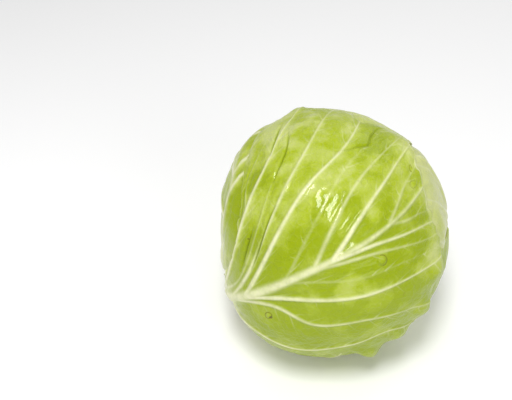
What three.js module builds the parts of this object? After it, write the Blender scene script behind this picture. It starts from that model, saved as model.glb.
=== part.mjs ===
// A round green cabbage head lying on its side: a cut stem, the dense heart, and five wrapper leaves
// laid over each other, each a thin solid blade with its midrib and its side ribs raised on the outside.
import * as THREE from 'three';

// Driving sizes, in millimetres.
const HEAD_RADIUS = 83.5;       // the ball that the outer leaves lie on
const MIDDLE_HEIGHT = 78.5;     // the head's middle above the surface, which presses the ball flat there
const LEAF_PITCH = 3.6;         // how deep one leaf lies below the one outside it
const BLADE = 1.2;              // a blade's thickness
const BLADE_EDGE = 0.8;         // and at its margin
const COVERED_RELIEF = 0.4;     // how high a rib may stand where another leaf lies over it
const STEM_RADIUS = 14;
const STEM_END = 77;            // the cut face, from the head's middle
const STEM_ROOT = 34;           // how near to the middle the stem reaches inside the heart
const GAP = 0.4;                // between the stem and what it grows through
const SOCKET_EDGE = 65;         // where the heart closes round the stem, from the head's middle

// The head's axis, from the cut stem to the crown, in degrees.
const AXIS_TILT = 60.8;         // from straight up
const AXIS_HEADING = 9.8;       // round +Z, from +X
const AXIS_SPIN = -119;         // turns the front leaf's midrib to the front

// The ball's lumps, in degrees round the head: polar angle from the stem, angle round the axis.
const LUMPS = [
  { theta: 180, phi: 0, width: 48, height: -7 },
  { theta: 38, phi: 46, width: 30, height: 6 },
  { theta: 84, phi: -92, width: 38, height: 4 },
  { theta: 30, phi: -70, width: 26, height: -5 },
  { theta: 120, phi: 78, width: 34, height: -3 },
  { theta: 0, phi: 0, width: 20, height: -3 },
  { theta: 153, phi: -56, width: 16, height: 6 },
  { theta: 34, phi: -52, width: 9, height: -4.5 },
  { theta: 22, phi: 8, width: 11, height: -2.5 },
];

// How ribs are raised: height and half width in millimetres, at the start and at the end.
const MIDRIB = { height: [5, 1.2], half: [7.5, 1.6] };
const SIDE_RIB = { height: [2.4, 0.7], half: [2.6, 1.1] };
const MIDRIB_FLANK = 6;         // where a blade's first row of corners lies beside the midrib, in degrees
const PUFF = 0.7;               // how far the blade swells between two ribs
const SCALLOP = 2.2;            // how far the margin bulges between two ribs, in degrees

const RIB_STEPS = { front: 12, other: 10 };
const RAD = Math.PI / 180;
const { lerp, clamp, smoothstep } = THREE.MathUtils;

const headTurn = new THREE.Matrix4().makeRotationZ(AXIS_HEADING * RAD)
  .multiply(new THREE.Matrix4().makeRotationY(AXIS_TILT * RAD))
  .multiply(new THREE.Matrix4().makeRotationZ(AXIS_SPIN * RAD));

// A direction from the head's middle, in the head's own frame, whose +Z runs from the stem to the crown.
function direction(theta, phi) {
  const [t, p] = [theta * RAD, phi * RAD];
  return new THREE.Vector3(Math.sin(t) * Math.cos(p), Math.sin(t) * Math.sin(p), -Math.cos(t));
}

// The ball's radius in one direction, with its lumps.
function headRadius(way) {
  let radius = HEAD_RADIUS;
  for (const lump of LUMPS) {
    const away = way.angleTo(direction(lump.theta, lump.phi)) / RAD / lump.width;
    radius += lump.height * Math.exp(-away * away);
  }
  return radius;
}

// The distance from the middle to the surface it lies on, in one direction.
function floorDistance(way) {
  const down = -way.clone().transformDirection(headTurn).z;
  return down > 0.05 ? MIDDLE_HEIGHT / down : Infinity;
}

// A leaf's plane lays the ball flat round the leaf's middle: x runs to its tip and y across it, in degrees.
// Without a turn, the tip points to the crown.
function leafFrame(leaf) {
  const middle = direction(leaf.theta, leaf.phi);
  const tip = direction(leaf.theta + 90, leaf.phi).applyAxisAngle(middle, leaf.turn * RAD);
  const side = new THREE.Vector3().crossVectors(middle, tip);
  return { middle, tip, side };
}

function wayOf(frame, [x, y]) {
  const away = Math.hypot(x, y);
  const way = frame.middle.clone().multiplyScalar(Math.cos(away * RAD));
  if (away < 1e-9) return way;
  const turn = Math.sin(away * RAD) / away;
  return way.addScaledVector(frame.tip, x * turn).addScaledVector(frame.side, y * turn);
}

function planeOf(frame, way) {
  const [x, y] = [way.dot(frame.tip), way.dot(frame.side)];
  const away = way.angleTo(frame.middle) / RAD;
  const long = Math.hypot(x, y) || 1;
  return [x / long * away, y / long * away];
}

// A midrib's side offset at one place along it.
function midribSide(leaf, x) {
  const points = leaf.midrib;
  let i = 1;
  while (i < points.length - 1 && points[i][0] < x) i += 1;
  const [a, b] = [points[i - 1], points[i]];
  return lerp(a[1], b[1], clamp((x - a[0]) / (b[0] - a[0]), 0, 1));
}

// The ribs of one half of a leaf, each a curve from the midrib to the margin. The first is the margin of
// the leaf's base, and the last the end of the midrib, which both halves share.
function ribCurves(leaf, half) {
  return leaf.ribs.map((rib) => {
    const start = [rib.start, midribSide(leaf, rib.start)];
    const points = [start, ...rib[half]].map(([x, y]) => new THREE.Vector3(x, y, 0));
    return new THREE.CatmullRomCurve3(points, false, 'centripetal');
  });
}

// The ribs of a leaf drawn by rule: pairs that leave the midrib one after another and fan out to an
// outline that is round at the tip and broad where it clasps the stem.
function fannedRibs(midrib, { upper, lower, pairs, bow, clasp }) {
  const [[base, baseSide], [tip]] = [midrib[0], midrib.at(-1)];
  const ribs = [];
  for (let i = 0; i <= pairs; i += 1) {
    const along = i / pairs;
    const rib = { start: base + (tip - base) * 0.74 * Math.pow(along, 1.25), strength: 1 - 0.45 * along };
    for (const [half, reach] of [['upper', upper], ['lower', -lower]]) {
      const turn = lerp(112, 9, Math.pow(along, 0.85)) * RAD;
      const end = [tip * Math.cos(turn), reach * Math.sin(turn)];
      const middle = [lerp(rib.start, end[0], 0.5) + bow * (1 - along), end[1] * 0.44];
      const basal = clasp?.[half] ?? [[base, baseSide + 8 * Math.sign(reach)],
        [base + 6, lerp(baseSide, reach, 0.36)], [lerp(base, end[0], 0.5), reach * 0.78]];
      rib[half] = i > 0 ? [middle, end] : [...basal, end];
    }
    ribs.push(rib);
  }
  ribs.push({ start: tip * 0.78, upper: [[tip, 0]], lower: [[tip, 0]], strength: 0 });
  return ribs;
}

// The leaves, from the outermost inwards. Ribs are listed from the base to the tip. A loose place is where
// the margin stands off the head: the angle round the leaf's middle, its width in degrees and its height.
const leaves = [
  {
    name: 'front_leaf', colour: 0xa9bd3c, theta: 90, phi: 0, turn: 0, steps: RIB_STEPS.front,
    midrib: [[-77, 0], [-41, -1], [-5, 0], [23, 1], [43, 4], [63, 9]],
    ribs: [
      {
        start: -77, strength: 0,
        upper: [[-75, 5.5], [-46, 16], [-28, 38], [-20, 62], [-7, 91]],
        lower: [[-75, -5.5], [-62, -24], [-48, -43], [-26, -50], [-8, -69]],
      },
      {
        start: -71, strength: 1,
        upper: [[-49, 12], [-27, 32], [-9, 49], [5, 70], [20, 92]],
        lower: [[-52, -19], [-33, -37], [-9, -46], [9, -49], [24, -63]],
      },
      {
        start: -51, strength: 0.8,
        upper: [[-33, 9], [-7, 31], [17, 54], [43, 84]],
        lower: [[-29, -9], [-15, -24], [7, -33], [23, -42], [37, -53]],
      },
      {
        start: -40, strength: 1,
        upper: [[-20, 13], [6, 31], [33, 46], [53, 64]],
        lower: [[-22, -7], [6, -19], [36, -26], [56, -32]],
      },
      {
        start: -17, strength: 0.4,
        upper: [[5, 17], [26, 33], [48, 44], [65, 53]],
        lower: [[-6, -5], [12, -12], [36, -18], [58, -25]],
      },
      {
        start: -3, strength: 0.9,
        upper: [[12, 13], [29, 25], [50, 35], [70, 42]],
        lower: [[20, -5], [35, -10], [59, -18]],
      },
      {
        start: 6, strength: 0.9,
        upper: [[22, 10], [34, 17], [50, 25], [68, 33]],
        lower: [[26, -2.5], [42, -6], [60, -11]],
      },
      {
        start: 34, strength: 0.5,
        upper: [[47, 12], [56, 17], [66, 23]],
        lower: [[44, -0.5], [61, -3]],
      },
      { start: 47, strength: 0, upper: [[63, 9]], lower: [[63, 9]] },
    ],
    loose: [
      { turn: -96, width: 5, height: 6.5 },
      { turn: -78, width: 6, height: 4 },
      { turn: -59, width: 7, height: 4.5 },
      { turn: -37, width: 7, height: 3.5 },
      { turn: 81, width: 5, height: 3 },
    ],
  },
  {
    name: 'left_leaf', colour: 0xc3ca78, theta: 86, phi: -96, turn: 35, steps: RIB_STEPS.other,
    midrib: [[-70, 37], [-66, 14], [-58, -8], [-41, -14], [-24, -6], [-4, -3], [72, 0]],
    fan: {
      upper: 72, lower: 66, pairs: 5, bow: 7,
      clasp: {
        upper: [[-65, 41], [-52, 54], [-40, 64]],
        lower: [[-76, 32], [-82, 10], [-73, -24], [-50, -50]],
      },
    },
  },
  {
    name: 'under_leaf', colour: 0xb4c04e, theta: 86, phi: 100, turn: 0, steps: RIB_STEPS.other,
    midrib: [[-73, 0], [0, -2], [70, 0]],
    fan: { upper: 68, lower: 70, pairs: 5, bow: 6 },
  },
  {
    name: 'back_leaf', colour: 0xb9c65a, theta: 90, phi: 186, turn: 0, steps: RIB_STEPS.other,
    midrib: [[-77, 0], [0, 2], [72, 0]],
    fan: { upper: 72, lower: 72, pairs: 5, bow: 8 },
  },
  {
    name: 'crown_leaf', colour: 0xcdd49a, theta: 138, phi: 128, turn: 0, steps: RIB_STEPS.other,
    midrib: [[-96, 0], [0, 2], [84, 0]],
    fan: { upper: 76, lower: 76, pairs: 5, bow: 5 },
  },
];

for (const leaf of leaves) {
  leaf.frame = leafFrame(leaf);
  leaf.ribs ??= fannedRibs(leaf.midrib, leaf.fan);
  leaf.curves = { upper: ribCurves(leaf, 'upper'), lower: ribCurves(leaf, 'lower') };
  leaf.outline = outlineOf(leaf);
}

// A leaf's outline as how far it reaches from its middle at each angle round it.
function outlineOf(leaf) {
  const points = [];
  for (const half of ['upper', 'lower']) {
    const [first] = leaf.curves[half];
    for (let w = 0; w <= 1; w += 0.1) points.push(first.getPointAt(w));
    for (const curve of leaf.curves[half]) points.push(curve.getPointAt(1));
  }
  return points.map(({ x, y }) => ({ turn: Math.atan2(y, x), reach: Math.hypot(x, y) }))
    .sort((a, b) => a.turn - b.turn);
}

// How far past a leaf's margin a direction lies, in degrees, and negative inside the leaf.
function pastMargin(leaf, way) {
  const [x, y] = planeOf(leaf.frame, way);
  const turn = Math.atan2(y, x);
  const points = leaf.outline;
  const found = points.findIndex((point) => point.turn > turn);
  const next = found < 0 ? { ...points[0], turn: points[0].turn + 2 * Math.PI } : points[found];
  const last = found === 0
    ? { ...points.at(-1), turn: points.at(-1).turn - 2 * Math.PI } : points.at(found - 1);
  const share = (turn - last.turn) / Math.max(next.turn - last.turn, 1e-6);
  return Math.hypot(x, y) - lerp(last.reach, next.reach, share);
}

// How deep the leaves outside push what lies under them, and how far they cover it.
function pressedBy(outer, way, [inside, outside] = [-6, 18]) {
  let [sink, covered] = [0, 0];
  for (const leaf of outer) {
    const past = pastMargin(leaf, way);
    sink += LEAF_PITCH * (1 - smoothstep(past, inside, outside));
    covered = Math.max(covered, 1 - smoothstep(past, 4, 15));
  }
  return { sink, covered };
}

// The distance in degrees from a point of a leaf's plane to its midrib.
function fromMidrib(leaf, [x, y]) {
  const near = clamp(x, leaf.midrib[0][0], leaf.midrib.at(-1)[0]);
  return Math.hypot(x - near, y - midribSide(leaf, near));
}

const ridge = (share) => Math.pow(Math.cos(Math.min(Math.abs(share), 1) * Math.PI / 2), 1.5);
const MM_PER_DEGREE = HEAD_RADIUS * RAD;

// The space between two ribs at one place along them, in millimetres.
function ribSpace(a, b, w) {
  const chord = b.getPointAt(w).sub(a.getPointAt(w));
  const along = a.getTangentAt(w);
  return Math.max(Math.abs(chord.x * along.y - chord.y * along.x) * MM_PER_DEGREE, 0.5);
}

// The lines of one half of a leaf from base to tip: on each rib, at its two flanks and midway to the next.
function gridLines(leaf, half) {
  const curves = leaf.curves[half];
  const lines = [];
  for (let i = 0; i < curves.length - 1; i += 1) {
    for (const place of ['rib', 'flank', 'between', 'next flank']) lines.push({ i, place });
  }
  lines.push({ i: curves.length - 2, place: 'end' });
  return lines;
}

// One vertex pair of a leaf: its way, and the radius of its outer and inner face.
function leafVertex(leaf, half, line, w, outer) {
  const [a, b] = [leaf.curves[half][line.i], leaf.curves[half][line.i + 1]];
  const [ribA, ribB] = [leaf.ribs[line.i], leaf.ribs[line.i + 1]];
  const space = ribSpace(a, b, w);
  const halfWidth = lerp(...SIDE_RIB.half, w);
  const flank = clamp(halfWidth / space, 0.04, 0.3);
  const share = { rib: 0, flank, between: 0.5, 'next flank': 1 - flank, end: 1 }[line.place];

  const [from, to] = [a.getPointAt(w), b.getPointAt(w)];
  const out = a.getTangentAt(w).add(b.getTangentAt(w)).normalize();
  const bulge = SCALLOP * Math.sin(share * Math.PI) * Math.pow(w, 5);
  const place = [lerp(from.x, to.x, share) + out.x * bulge, lerp(from.y, to.y, share) + out.y * bulge];
  const way = wayOf(leaf.frame, place);

  const height = lerp(...SIDE_RIB.height, w);
  const risen = height * (ribA.strength * ridge(share / flank) + ribB.strength * ridge((1 - share) / flank));
  const [base, tip] = [leaf.midrib[0][0], leaf.midrib.at(-1)[0]];
  const along = clamp((place[0] - base) / (tip - base), 0, 1);
  const offMidrib = fromMidrib(leaf, place) * MM_PER_DEGREE;
  const spine = lerp(...MIDRIB.height, along) * ridge(offMidrib / lerp(...MIDRIB.half, along));
  const swell = PUFF * Math.sin(share * Math.PI) * Math.sin(w * Math.PI);

  const { sink, covered } = pressedBy(outer, way);
  const rib = Math.max(risen, spine);
  const relief = lerp(rib, Math.min(rib, COVERED_RELIEF), covered);
  const lift = (swell + curlOf(leaf, place, way)) * (1 - covered);
  const floor = floorDistance(way);
  const rest = Math.min(headRadius(way), floor) - sink + lift;
  const blade = lerp(BLADE, BLADE_EDGE, w * w);
  return { way, outside: Math.min(rest + relief, floor), inside: Math.min(rest, floor) - blade };
}

// How far a loose margin stands off the head.
function curlOf(leaf, [x, y], way) {
  const turn = Math.atan2(y, x) / RAD;
  const rise = (leaf.loose ?? []).reduce((sum, place) => (
    sum + place.height * Math.exp(-(((turn - place.turn) / place.width) ** 2))), 0);
  return rise > 0.01 ? rise * smoothstep(pastMargin(leaf, way), -17, 0) : 0;
}

// A leaf's closed blade: two faces with the same triangles, joined round the margin.
function leafGeometry(leaf, outer) {
  const rows = [];
  const upper = gridLines(leaf, 'upper');
  const lower = gridLines(leaf, 'lower');
  const positions = [];
  const addVertex = (half, line, w) => {
    const { way, outside, inside } = leafVertex(leaf, half, line, w, outer);
    for (const radius of [outside, inside]) {
      const point = way.clone().applyMatrix4(headTurn).multiplyScalar(radius);
      positions.push(point.x, point.y, Math.max(point.z + MIDDLE_HEIGHT, 0));
    }
    return positions.length / 3 - 2;
  };
  // Steps along a line: one at the midrib's flank, then even ones out to the margin.
  const stepsOf = (half, line) => {
    const first = clamp(MIDRIB_FLANK / leaf.curves[half][line.i].getLength(), 0.03, 0.12);
    return Array.from({ length: leaf.steps }, (_, k) => lerp(first, 1, Math.pow(k / (leaf.steps - 1), 1.1)));
  };
  // One row a line, from the margin of the lower half over the midrib to the margin of the upper half.
  upper.forEach((line, k) => {
    const down = stepsOf('lower', lower[k]).map((w) => addVertex('lower', lower[k], w)).reverse();
    const middle = addVertex('upper', line, 0);
    const up = line.place === 'end'
      ? [...down].reverse() : stepsOf('upper', line).map((w) => addVertex('upper', line, w));
    rows.push([...down, middle, ...up]);
  });
  const faces = [];
  const wide = rows[0].length - 1;
  for (let r = 0; r < rows.length - 1; r += 1) {
    for (let c = 0; c < wide; c += 1) {
      const [a, b, d, e] = [rows[r][c], rows[r][c + 1], rows[r + 1][c + 1], rows[r + 1][c]];
      const cut = c < wide / 2 ? [[a, b, d], [a, d, e]] : [[a, b, e], [b, d, e]];
      for (const [p, q, s] of cut) faces.push([p, s, q], [p + 1, q + 1, s + 1]);
    }
  }
  const rim = [...rows[0], ...rows.slice(1, -1).map((row) => row[wide]), rows.at(-1)[wide],
    ...rows.slice(1, -1).map((row) => row[0]).reverse()];
  rim.forEach((p, k) => {
    const q = rim[(k + 1) % rim.length];
    faces.push([p, q, p + 1], [q, q + 1, p + 1]);
  });
  return solidGeometry(positions, faces);
}

function solidGeometry(positions, faces) {
  const geometry = new THREE.BufferGeometry();
  geometry.setAttribute('position', new THREE.Float32BufferAttribute(positions, 3));
  geometry.setIndex(faces.flat());
  geometry.computeVertexNormals();
  return geometry;
}

// The heart: the tight leaves inside as one body, each one's free margin a low step on a slow spiral,
// with a socket that the stem grows into.
function heartGeometry() {
  const HEART_LEAVES = 5;
  const STEP = 1.4;
  const TWIST = 70;
  const ROWS = 16;
  const CUTS = [0, 0.06, 0.2, 0.36, 0.52, 0.68, 0.84];
  const socket = STEM_RADIUS + GAP;
  const first = Math.asin(socket / (HEAD_RADIUS - 16)) / RAD + 2;
  const rings = [];
  const positions = [];
  const add = (point) => {
    const placed = point.applyMatrix4(headTurn);
    positions.push(placed.x, placed.y, placed.z + MIDDLE_HEIGHT);
    return positions.length / 3 - 1;
  };
  const turns = [];
  for (let leaf = 0; leaf < HEART_LEAVES; leaf += 1) {
    for (const cut of CUTS) turns.push({ phi: (leaf + cut) * 360 / HEART_LEAVES, cut });
  }
  const socketRing = (height) => turns.map(({ phi }) => {
    const rim = direction(90, phi).multiplyScalar(socket);
    return add(rim.setZ(-height));
  });
  const bottom = add(new THREE.Vector3(0, 0, -(STEM_ROOT - GAP)));
  rings.push(socketRing(STEM_ROOT - GAP));
  rings.push(socketRing(SOCKET_EDGE));
  for (let row = 0; row < ROWS; row += 1) {
    const theta = lerp(first, 174, row / (ROWS - 1));
    rings.push(turns.map(({ phi, cut }) => {
      const way = direction(theta, phi + TWIST * theta / 180);
      const { sink } = pressedBy(leaves, way, [-4, 9]);
      const step = STEP * (cut < 0.06 ? 0 : 1 - cut) * Math.sin(Math.min(theta, 150) * RAD);
      const rest = Math.min(headRadius(way), floorDistance(way)) - sink;
      return add(way.multiplyScalar(rest - STEP - 1.2 + step));
    }));
  }
  const crown = add(direction(180, 0).multiplyScalar(headRadius(direction(180, 0)) - 14));
  const faces = [];
  const count = turns.length;
  for (let k = 0; k < count; k += 1) {
    const next = (k + 1) % count;
    faces.push([bottom, rings[0][next], rings[0][k]]);
    for (let r = 0; r < rings.length - 1; r += 1) {
      const [a, b, d, e] = [rings[r][k], rings[r][next], rings[r + 1][next], rings[r + 1][k]];
      faces.push([a, d, e], [a, b, d]);
    }
    faces.push([rings.at(-1)[k], rings.at(-1)[next], crown]);
  }
  return solidGeometry(positions, faces);
}

// The stem: a stub cut square, with a rounded edge, that tapers a little into the heart.
function stemGeometry() {
  const profile = [
    new THREE.Vector2(0, STEM_ROOT),
    new THREE.Vector2(STEM_RADIUS - 3, STEM_ROOT),
    new THREE.Vector2(STEM_RADIUS - 1, STEM_ROOT + 3),
    new THREE.Vector2(STEM_RADIUS, STEM_END - 8),
    new THREE.Vector2(STEM_RADIUS, STEM_END - 1.2),
    new THREE.Vector2(STEM_RADIUS - 1.2, STEM_END),
    new THREE.Vector2(0, STEM_END),
  ];
  return new THREE.LatheGeometry(profile, 28);
}

function named(name, geometry, colour, roughness) {
  const material = new THREE.MeshStandardMaterial({ color: colour, roughness, metalness: 0 });
  const mesh = new THREE.Mesh(geometry, material);
  mesh.name = name;
  return mesh;
}

const group = new THREE.Group();
leaves.forEach((leaf, k) => {
  group.add(named(leaf.name, leafGeometry(leaf, leaves.slice(0, k)), leaf.colour, 0.45));
});
group.add(named('heart', heartGeometry(), 0xd6dca0, 0.5));

// The stub is turned about +Y, so its mesh is set on the head's axis by turning it to the stem's side.
const stem = named('stem', stemGeometry(), 0xdfe2b8, 0.6);
const stemWay = direction(0, 0).transformDirection(headTurn);
stem.quaternion.setFromUnitVectors(new THREE.Vector3(0, 1, 0), stemWay);
stem.position.set(0, 0, MIDDLE_HEIGHT);
group.add(stem);

export default group;
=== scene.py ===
"""A green cabbage head on a pale floor: fine leaves with their veins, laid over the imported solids."""
import math
import bpy
import numpy as np
from mathutils import Matrix, Vector

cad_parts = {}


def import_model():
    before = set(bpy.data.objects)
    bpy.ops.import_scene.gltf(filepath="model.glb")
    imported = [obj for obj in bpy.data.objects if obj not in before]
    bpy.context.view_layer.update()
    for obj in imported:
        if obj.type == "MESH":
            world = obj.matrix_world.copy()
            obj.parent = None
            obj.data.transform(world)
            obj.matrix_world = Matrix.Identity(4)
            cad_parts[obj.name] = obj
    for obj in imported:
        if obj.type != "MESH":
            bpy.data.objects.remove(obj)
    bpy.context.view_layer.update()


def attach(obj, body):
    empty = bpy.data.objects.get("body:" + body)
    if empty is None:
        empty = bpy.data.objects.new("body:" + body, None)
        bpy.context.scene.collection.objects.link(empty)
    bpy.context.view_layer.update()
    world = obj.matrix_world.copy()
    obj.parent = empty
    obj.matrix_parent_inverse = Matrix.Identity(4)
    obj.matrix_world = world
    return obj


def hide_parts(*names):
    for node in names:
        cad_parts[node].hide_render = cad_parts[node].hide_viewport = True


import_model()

# The head, in millimetres and degrees, as the solids have it.
HEAD_RADIUS = 83.5
MIDDLE_HEIGHT = 78.5
AXIS_TILT, AXIS_HEADING, AXIS_SPIN = 60.8, 9.8, -119
LUMPS = [  # polar angle from the stem, angle round the axis, width, height
    (180, 0, 48, -7),
    (38, 46, 30, 6),
    (84, -92, 38, 4),
    (30, -70, 26, -5),
    (120, 78, 34, -3),
    (0, 0, 20, -3),
    (153, -56, 16, 6),
    (34, -52, 9, -4.5),
    (22, 8, 11, -2.5),
]
MIDRIB_HEIGHT, MIDRIB_HALF = (5.0, 1.2), (7.5, 1.6)
RIB_HEIGHT, RIB_HALF = (2.4, 0.7), (3.0, 1.35)
STEM_RADIUS, STEM_END = 14.0, 77.0

# How the fine leaves lie. They can lie closer together than the solids, whose faces are flat.
LEAF_PITCH = 1.6    # how deep one leaf lies below the one outside it
BLADE, BLADE_EDGE = 1.0, 0.5    # a blade's thickness, and at its margin
COVERED_RELIEF = 0.35   # how high a rib may stand where another leaf lies over it
PUFF = 0.75         # how far the blade swells between two ribs
VEIN_PUFF = 0.4     # and between two side veins
SCALLOP = 2.2       # how far the margin bulges between two ribs, in degrees

RAD = math.pi / 180
METRE = 0.001
MM_PER_DEGREE = HEAD_RADIUS * RAD
CELL = 0.2          # the step of a leaf's chart, in degrees
REACH = 100.0       # how far a chart reaches from the leaf's middle, in degrees
FAR = 30.0          # what a chart holds where no rib or vein is near, in millimetres
INNER_STEP = 5      # a blade's inner face is this many times coarser than its outer one


def smoothstep(low, high, value):
    """0 below low, 1 above high, and a soft step between."""
    share = np.clip((value - low) / (high - low), 0, 1)
    return share * share * (3 - 2 * share)


def turned(axis, degrees):
    return np.array(Matrix.Rotation(degrees * RAD, 3, axis))


HEAD_TURN = turned("Z", AXIS_HEADING) @ turned("Y", AXIS_TILT) @ turned("Z", AXIS_SPIN)


def direction(theta, phi):
    """A direction in the head's frame, whose +Z runs from the stem to the crown."""
    t, p = np.asarray(theta) * RAD, np.asarray(phi) * RAD
    return np.stack([np.sin(t) * np.cos(p), np.sin(t) * np.sin(p), -np.cos(t) + 0 * p], axis=-1)


def wavy(ways, seed, scale, count=7):
    """A smooth seeded unevenness over directions, between about -1 and 1. A higher scale is finer."""
    rng = np.random.default_rng(seed)
    total = np.zeros(ways.shape[:-1])
    for _ in range(count):
        way = rng.normal(size=3)
        way *= scale * rng.uniform(0.7, 1.3) / np.linalg.norm(way)
        total += np.sin(ways @ way + rng.uniform(0, 2 * math.pi))
    return total / math.sqrt(count)


def head_radius(ways):
    """How far the outermost leaf lies from the head's middle, lumps included."""
    radius = np.full(ways.shape[:-1], HEAD_RADIUS)
    for theta, phi, width, height in LUMPS:
        away = np.arccos(np.clip(ways @ direction(theta, phi), -1, 1)) / RAD / width
        radius += height * np.exp(-away * away)
    return radius + 0.55 * wavy(ways, 3, 7) + 0.3 * wavy(ways, 4, 15)


def floor_distance(ways):
    """How far the floor is from the head's middle, in each direction."""
    down = -(ways @ HEAD_TURN.T)[..., 2]
    return np.where(down > 0.05, MIDDLE_HEIGHT / np.maximum(down, 0.05), np.inf)


def curve_through(points, count=81):
    """A centripetal curve through points, as evenly spaced places along it."""
    p = np.array(points, float)
    p = np.vstack([2 * p[0] - p[1], p, 2 * p[-1] - p[-2]])
    places = []
    for a, b, c, d in zip(p[:-3], p[1:-2], p[2:-1], p[3:]):
        t = np.cumsum([0] + [max(np.linalg.norm(q - r), 1e-6) ** 0.5 for q, r in ((b, a), (c, b), (d, c))])
        s = np.linspace(t[1], t[2], 24)[:, None]
        ab, bc, cd = [(q * (v - s) + r * (s - u)) / (v - u)
                      for q, r, u, v in ((a, b, t[0], t[1]), (b, c, t[1], t[2]), (c, d, t[2], t[3]))]
        abc = (ab * (t[2] - s) + bc * (s - t[0])) / (t[2] - t[0])
        bcd = (bc * (t[3] - s) + cd * (s - t[1])) / (t[3] - t[1])
        places.append((abc * (t[2] - s) + bcd * (s - t[1])) / (t[2] - t[1]))
    return evenly(np.vstack(places), count)


def evenly(path, count):
    along = np.concatenate([[0], np.cumsum(np.linalg.norm(np.diff(path, axis=0), axis=1))])
    steps = np.linspace(0, along[-1], count)
    return np.stack([np.interp(steps, along, path[:, k]) for k in (0, 1)], axis=1)


def length_of(path):
    return np.linalg.norm(np.diff(path, axis=0), axis=1).sum()


class Chart:
    """Maps over a leaf's plane, drawn stroke by stroke and read at the leaf's vertices."""

    def __init__(self):
        self.count = int(2 * REACH / CELL) + 1
        self.maps = {name: np.zeros((self.count, self.count), np.float32)
                     for name in ("rib", "vein", "halo", "groove", "mark")}
        for name in ("from_rib", "from_vein"):
            self.maps[name] = np.full((self.count, self.count), FAR, np.float32)

    def stroke(self, path, half, reach, draw):
        """Calls draw near each step of a path, with the window of the maps to draw in, and, for each of its
        cells, the distance from the path in mm, the share along it and the half width in mm there."""
        steps = len(path) - 1
        halves = np.linspace(half[0], half[1], steps + 1)
        margin = int((reach + max(half)) / MM_PER_DEGREE / CELL) + 2
        for k in range(steps):
            a, b = path[k], path[k + 1]
            low = np.floor((np.minimum(a, b) + REACH) / CELL).astype(int) - margin
            high = np.ceil((np.maximum(a, b) + REACH) / CELL).astype(int) + margin
            low, high = np.maximum(low, 0), np.minimum(high, self.count - 1)
            if (high <= low).any():
                continue
            x = np.arange(low[0], high[0] + 1)[:, None] * CELL - REACH
            y = np.arange(low[1], high[1] + 1)[None, :] * CELL - REACH
            way = b - a
            share = np.clip(((x - a[0]) * way[0] + (y - a[1]) * way[1]) / max(way @ way, 1e-9), 0, 1)
            away = np.hypot(x - a[0] - share * way[0], y - a[1] - share * way[1]) * MM_PER_DEGREE
            window = (slice(low[0], high[0] + 1), slice(low[1], high[1] + 1))
            draw(window, away, (k + share) / steps, halves[k] + (halves[k + 1] - halves[k]) * share)

    def raise_to(self, name, window, values):
        self.maps[name][window] = np.maximum(self.maps[name][window], values)

    def lower_to(self, name, window, values):
        self.maps[name][window] = np.minimum(self.maps[name][window], values)

    def rib(self, path, height, half, strength):
        def draw(window, away, share, wide):
            tall = height[0] + (height[1] - height[0]) * share
            crest = np.cos(np.clip(away / (1.15 * wide), 0, 1) * math.pi / 2) ** 1.5
            foot = np.exp(-(away / (2.6 * wide)) ** 2)
            self.raise_to("rib", window, strength * tall * (0.62 * crest + 0.42 * foot))
            fade = strength * (1 - 0.5 * share)
            self.raise_to("vein", window, fade * np.exp(-(away / (0.62 * wide)) ** 2))
            self.raise_to("halo", window, fade * np.exp(-(away / (1.9 * wide)) ** 1.3))
            self.lower_to("from_rib", window, away)
            self.lower_to("from_vein", window, away)
        self.stroke(path, half, 16.0, draw)

    def vein(self, path, height, half, strength):
        def draw(window, away, share, wide):
            fade = strength * (1 - 0.8 * share)
            bump = np.exp(-(away / wide) ** 2)
            self.raise_to("rib", window, height * fade * bump)
            self.raise_to("vein", window, 0.48 * fade * bump)
            self.raise_to("halo", window, 0.35 * fade * np.exp(-away / (2.2 * wide)))
            self.lower_to("from_vein", window, away)
        self.stroke(path, half, 4.0, draw)

    def groove(self, path, depth, half):
        def draw(window, away, share, wide):
            dip = depth * np.sin(np.clip(share, 0.02, 0.98) * math.pi) ** 0.6 * np.exp(-(away / wide) ** 2)
            self.raise_to("groove", window, dip)
        self.stroke(path, half, 2 * half[0], draw)

    def blister(self, spot, half, height):
        def draw(window, away, share, wide):
            self.maps["rib"][window] += height * (1 - smoothstep(0.6 * wide, 1.1 * wide, away))
        self.stroke(np.array([spot, spot], float), (half, half), 0.3 * half, draw)

    def mark(self, path, half, strength):
        def draw(window, away, share, wide):
            self.raise_to("mark", window, strength * np.exp(-(away / wide) ** 2))
        self.stroke(path, (half, half), 2 * half, draw)

    def read(self, name, x, y):
        u = np.clip((x + REACH) / CELL, 0, self.count - 1.001)
        v = np.clip((y + REACH) / CELL, 0, self.count - 1.001)
        i, j = u.astype(int), v.astype(int)
        du, dv = u - i, v - j
        m = self.maps[name]
        return (m[i, j] * (1 - du) * (1 - dv) + m[i + 1, j] * du * (1 - dv)
                + m[i, j + 1] * (1 - du) * dv + m[i + 1, j + 1] * du * dv)


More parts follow.
